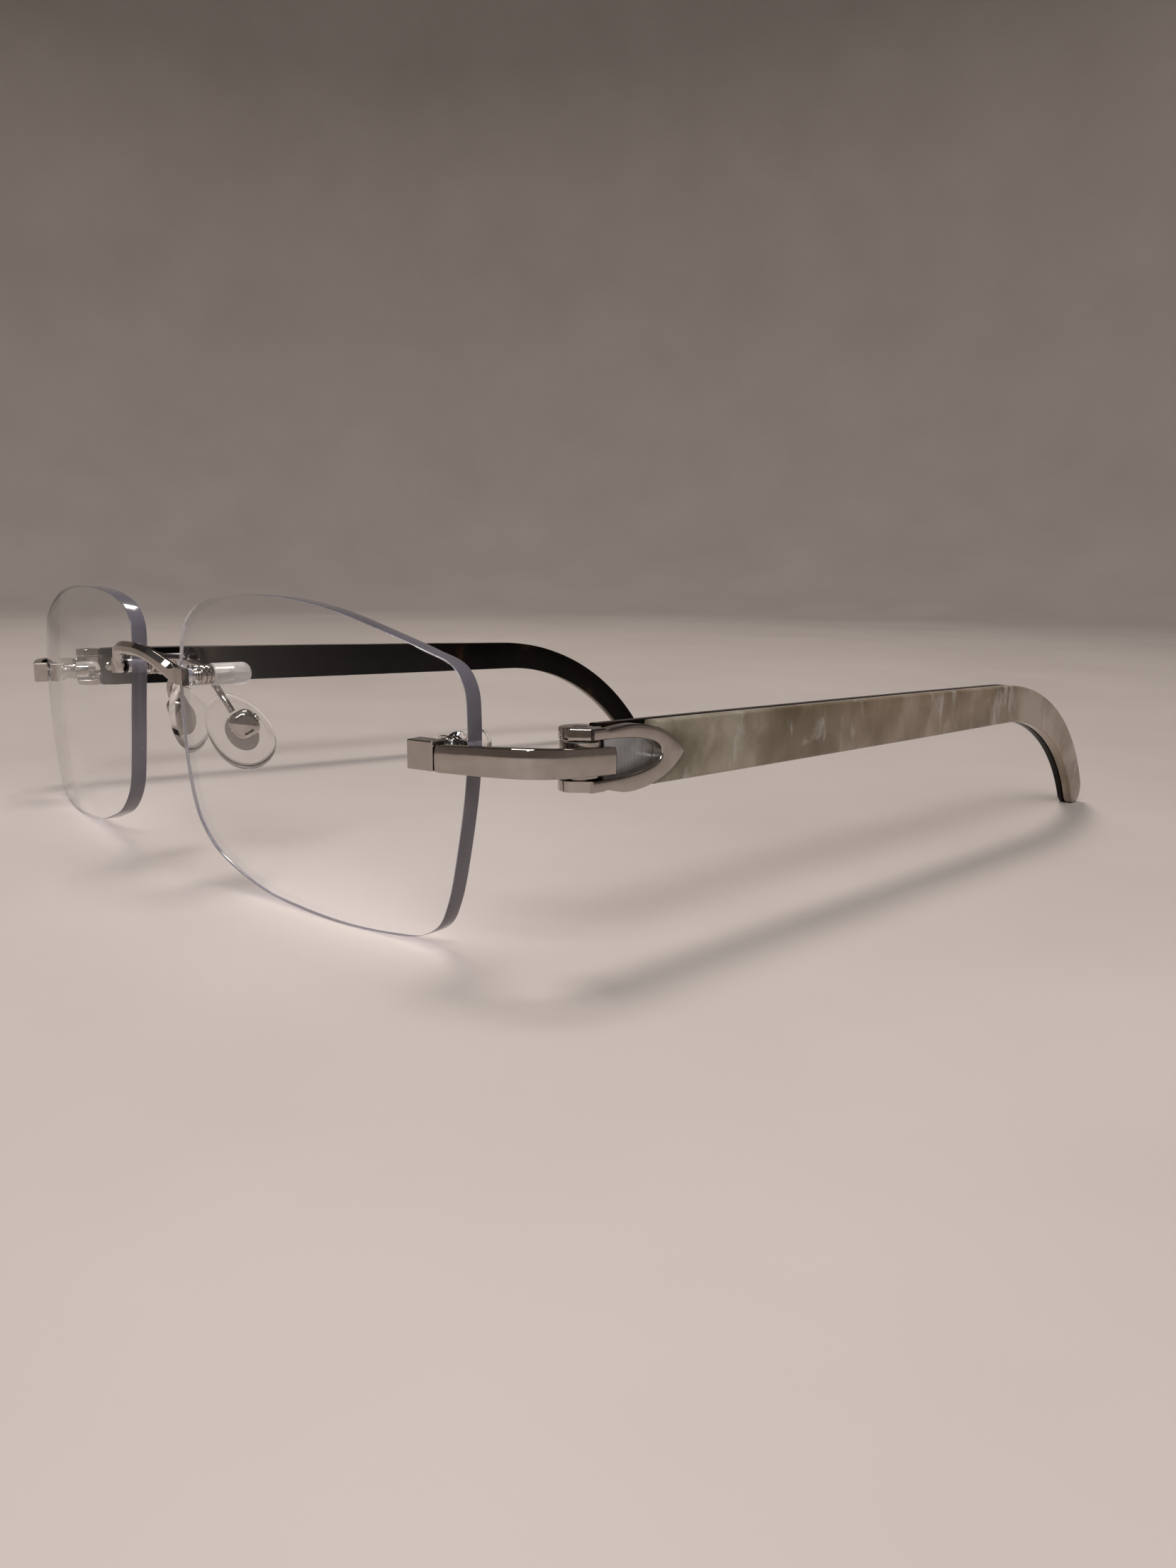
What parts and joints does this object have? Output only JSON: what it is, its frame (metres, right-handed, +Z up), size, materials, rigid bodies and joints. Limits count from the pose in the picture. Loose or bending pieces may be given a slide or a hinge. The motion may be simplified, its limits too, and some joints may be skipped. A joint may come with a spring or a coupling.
{
  "type": "rimless eyeglasses",
  "caption": "Rimless eyeglasses: drilled clear lenses, polished metal bridge and end pieces, silicone nose pads, folding temples of laminated horn.",
  "frame": {"origin": "middle of the bounding box on the surface the glasses stand on", "axes": "+Z up, +Y from the lenses back along the temples, +X to the wearer's left"},
  "size_m": [0.1394, 0.1456, 0.0366],
  "materials": {
    "lens": "polished",
    "stud": "machined",
    "clear_plastic": "clear",
    "nut": "polished",
    "cap_silicone": "frosted, slightly see-through",
    "pad_arm": "polished",
    "pad_box": "polished",
    "pad_screw": "polished",
    "pad_silicone": "clear silicone",
    "pad_insert": "dull polished",
    "end_block": "mirror polished",
    "end_bar": "mirror polished",
    "bridge": "mirror polished",
    "hinge_fork": "mirror polished",
    "hinge_screw": "polished",
    "window_plate": "fine upright brushing",
    "pale_horn": "polished horn, mottled cream, grey and olive",
    "dark_horn": "polished near-black horn with brown patches",
    "rivet": "polished"
  },
  "bodies": {
    "front": {"bridge": "bridge", "left_lens": "lens", "left_bridge_stud": "stud", "left_bridge_bushing": "clear_plastic", "left_bridge_nut": "nut", "left_bridge_cap": "cap_silicone", "left_pad_arm": "pad_arm", "left_pad_box": "pad_box", "left_pad_screw": "pad_screw", "left_end_block": "end_block", "left_end_bar": "end_bar", "left_end_stud": "stud", "left_end_bushing": "clear_plastic", "left_end_nut": "nut", "left_end_cap": "clear_plastic", "right_lens": "lens", "right_bridge_stud": "stud", "right_bridge_bushing": "clear_plastic", "right_bridge_nut": "nut", "right_bridge_cap": "cap_silicone", "right_pad_arm": "pad_arm", "right_pad_box": "pad_box", "right_pad_screw": "pad_screw", "right_end_block": "end_block", "right_end_bar": "end_bar", "right_end_stud": "stud", "right_end_bushing": "clear_plastic", "right_end_nut": "nut", "right_end_cap": "clear_plastic"},
    "left_temple": {"left_hinge_fork": "hinge_fork", "left_hinge_screw": "hinge_screw", "left_window_plate": "window_plate", "left_temple_outer": "pale_horn", "left_temple_inner": "dark_horn", "left_rivet_front": "rivet", "left_rivet_back": "rivet"},
    "left_pad": {"left_nose_pad": "pad_silicone", "left_pad_insert": "pad_insert"},
    "right_temple": {"right_hinge_fork": "hinge_fork", "right_hinge_screw": "hinge_screw", "right_window_plate": "window_plate", "right_temple_outer": "pale_horn", "right_temple_inner": "dark_horn", "right_rivet_front": "rivet", "right_rivet_back": "rivet"},
    "right_pad": {"right_nose_pad": "pad_silicone", "right_pad_insert": "pad_insert"}
  },
  "joints": [
    {"name": "left_temple_fold", "type": "hinge", "parent": "front", "child": "left_temple", "pos_m": [0.067, -0.05349, 0.0211], "axis": [0, 0, 1], "range_deg": [0, 89]},
    {"name": "right_temple_fold", "type": "hinge", "parent": "front", "child": "right_temple", "pos_m": [-0.067, -0.05349, 0.0211], "axis": [0, 0, -1], "range_deg": [-6, 78]},
    {"name": "left_pad_rock", "type": "hinge", "parent": "front", "child": "left_pad", "pos_m": [0.01126, -0.06104, 0.01933], "axis": [0.3434, 0.787, 0.5126], "range_deg": [-6, 6]},
    {"name": "right_pad_rock", "type": "hinge", "parent": "front", "child": "right_pad", "pos_m": [-0.01126, -0.06104, 0.01933], "axis": [-0.3434, 0.787, 0.5126], "range_deg": [-6, 6]}
  ]
}
